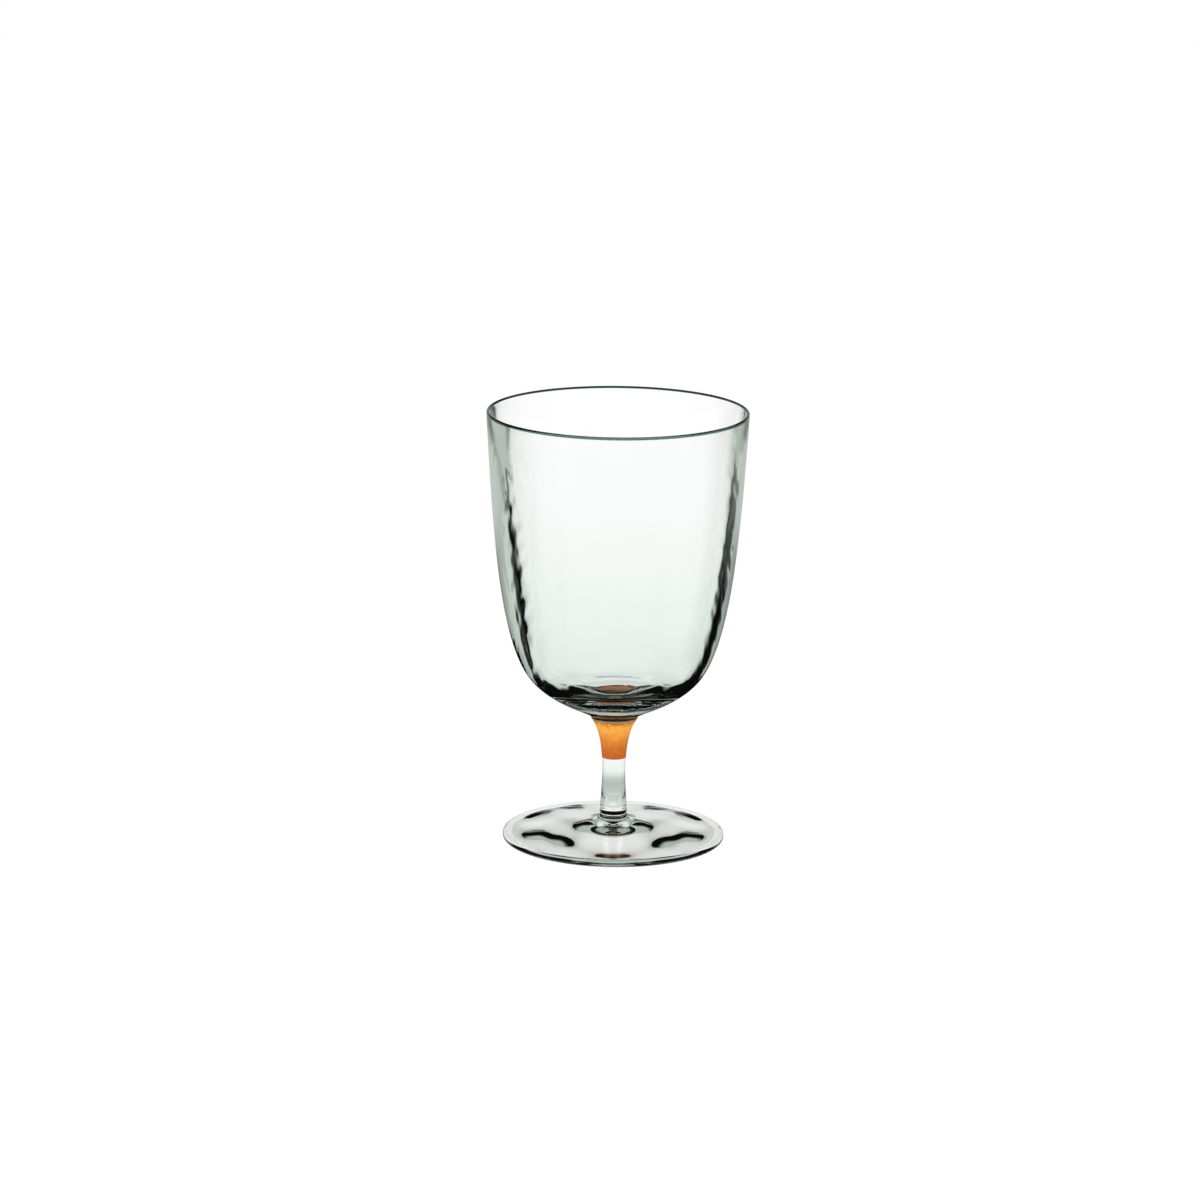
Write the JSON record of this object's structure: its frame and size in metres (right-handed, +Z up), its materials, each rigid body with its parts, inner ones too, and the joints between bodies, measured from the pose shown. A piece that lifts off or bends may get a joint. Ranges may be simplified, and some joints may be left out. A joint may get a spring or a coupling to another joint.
{
  "type": "water goblet",
  "caption": "Stemmed water goblet of clear glass: a deep, heavy bowl with five broad optic panels inside, a short stem with an amber enamel band, and a round foot.",
  "frame": {"origin": "centre of the ring under the foot, on the surface that the goblet stands on", "axes": "+Z up along the goblet's axis, towards the rim; -Y is the side that the picture shows"},
  "size_m": [0.086, 0.086, 0.1444],
  "materials": {
    "clear_glass": "fire-polished",
    "amber_enamel": "satin"
  },
  "bodies": {
    "root": {"bowl": "clear_glass", "stem": "clear_glass", "foot": "clear_glass", "amber_band": "amber_enamel"}
  },
  "joints": []
}
